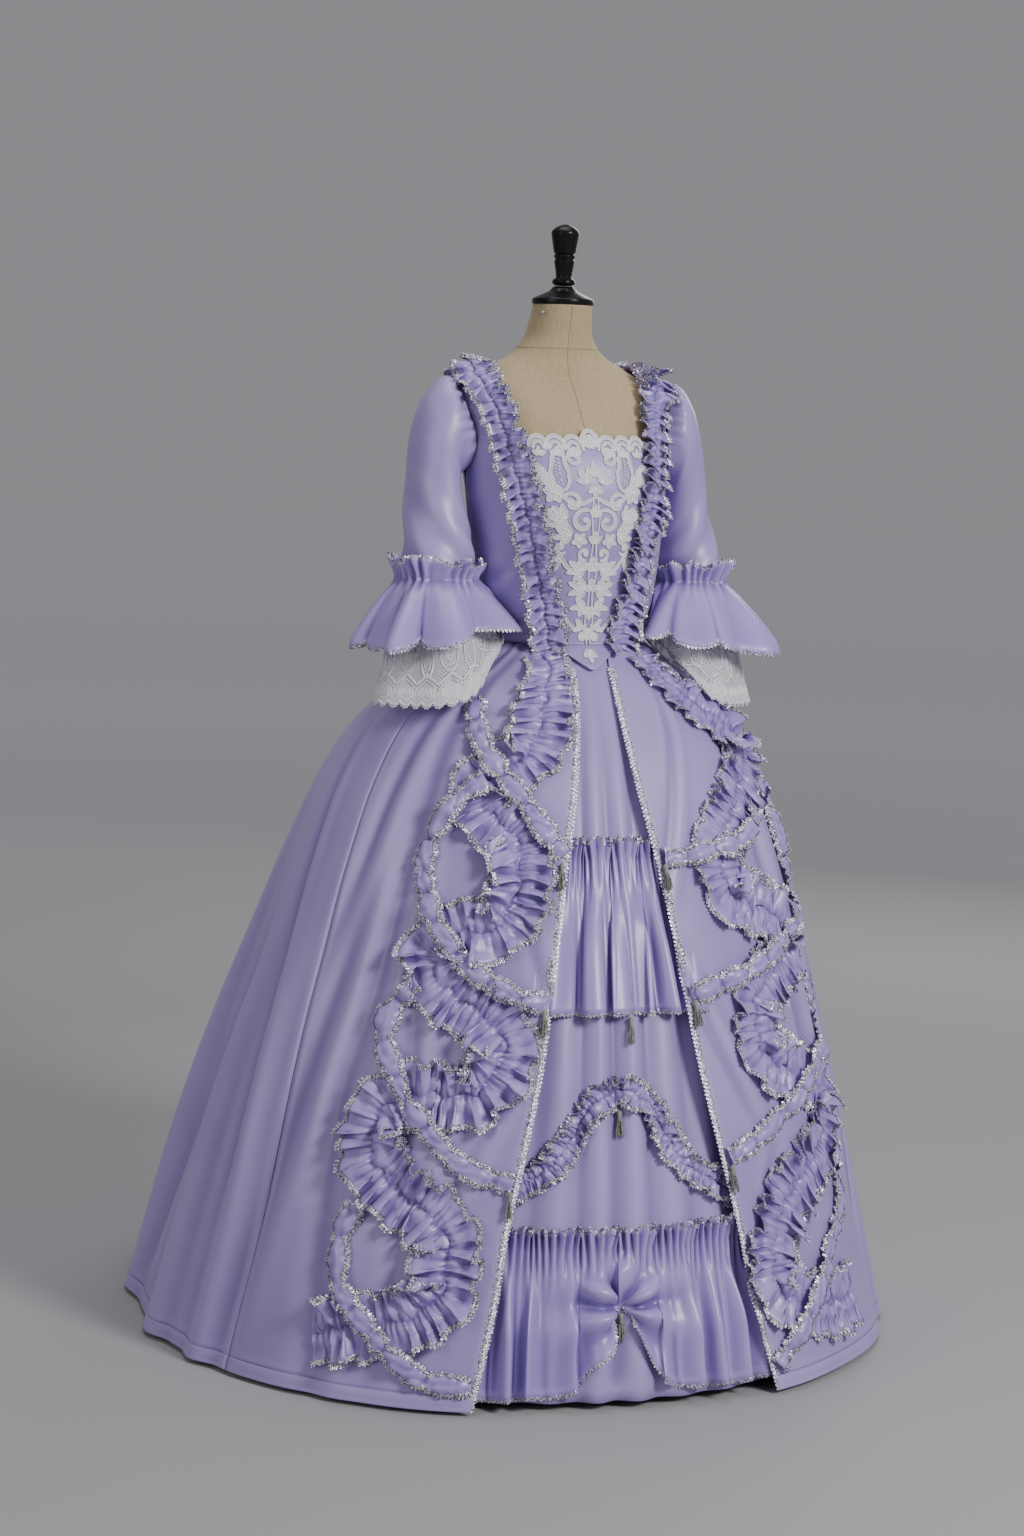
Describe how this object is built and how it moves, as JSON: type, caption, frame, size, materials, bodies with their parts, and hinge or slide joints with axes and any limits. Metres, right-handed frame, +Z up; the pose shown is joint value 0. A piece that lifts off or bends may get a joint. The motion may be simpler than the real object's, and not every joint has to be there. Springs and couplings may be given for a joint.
{
  "type": "ball gown with dress form",
  "caption": "Open-front satin ball gown with ruffle-trimmed overskirt, flounced petticoat, lace stomacher and elbow sleeves, on a limbless dress form with a round base.",
  "frame": {"origin": "centre of the base's underside, on the floor under the form's pole", "axes": "+Z up along the pole, -Y towards the gown's front, +X towards the wearer's left hand"},
  "size_m": [1.1859, 1.3601, 1.7],
  "materials": {
    "lilac_satin": "satin",
    "white_lace": "matt",
    "silver_braid": "metallic thread",
    "linen": "matt",
    "black_wood": "gloss",
    "black_iron": "matt",
    "tassel_cord": "matt"
  },
  "bodies": {
    "root": {"bodice_back_left": "lilac_satin", "bodice_back_right": "lilac_satin", "bodice_front_left": "lilac_satin", "bodice_front_right": "lilac_satin", "cuff_lace_back_left": "white_lace", "cuff_lace_back_right": "white_lace", "cuff_lace_front_left": "white_lace", "cuff_lace_front_right": "white_lace", "dress_form": "linen", "form_base": "black_iron", "form_finial": "black_wood", "form_neck_cap": "black_wood", "form_pole": "black_iron", "front_braid_left": "silver_braid", "front_braid_right": "silver_braid", "overskirt_back_left": "lilac_satin", "overskirt_back_right": "lilac_satin", "overskirt_front_left": "lilac_satin", "overskirt_front_right": "lilac_satin", "petticoat": "lilac_satin", "petticoat_bottom_flounce": "lilac_satin", "petticoat_garland": "lilac_satin", "petticoat_upper_flounce": "lilac_satin", "ribbon_left_1": "lilac_satin", "ribbon_left_2": "lilac_satin", "ribbon_left_3": "lilac_satin", "ribbon_left_4": "lilac_satin", "ribbon_right_1": "lilac_satin", "ribbon_right_2": "lilac_satin", "ribbon_right_3": "lilac_satin", "ribbon_right_4": "lilac_satin", "robing_left": "lilac_satin", "robing_right": "lilac_satin", "sleeve_flounce_left": "lilac_satin", "sleeve_flounce_right": "lilac_satin", "sleeve_left": "lilac_satin", "sleeve_right": "lilac_satin", "stomacher": "lilac_satin", "stomacher_lace": "white_lace", "tassel_centre_1": "tassel_cord", "tassel_centre_2": "tassel_cord", "tassel_centre_3": "tassel_cord", "tassel_left_1": "tassel_cord", "tassel_left_2": "tassel_cord", "tassel_left_3": "tassel_cord", "tassel_right_1": "tassel_cord", "tassel_right_2": "tassel_cord", "tassel_right_3": "tassel_cord", "wide_ruffle_left": "lilac_satin", "wide_ruffle_right": "lilac_satin"}
  },
  "joints": []
}
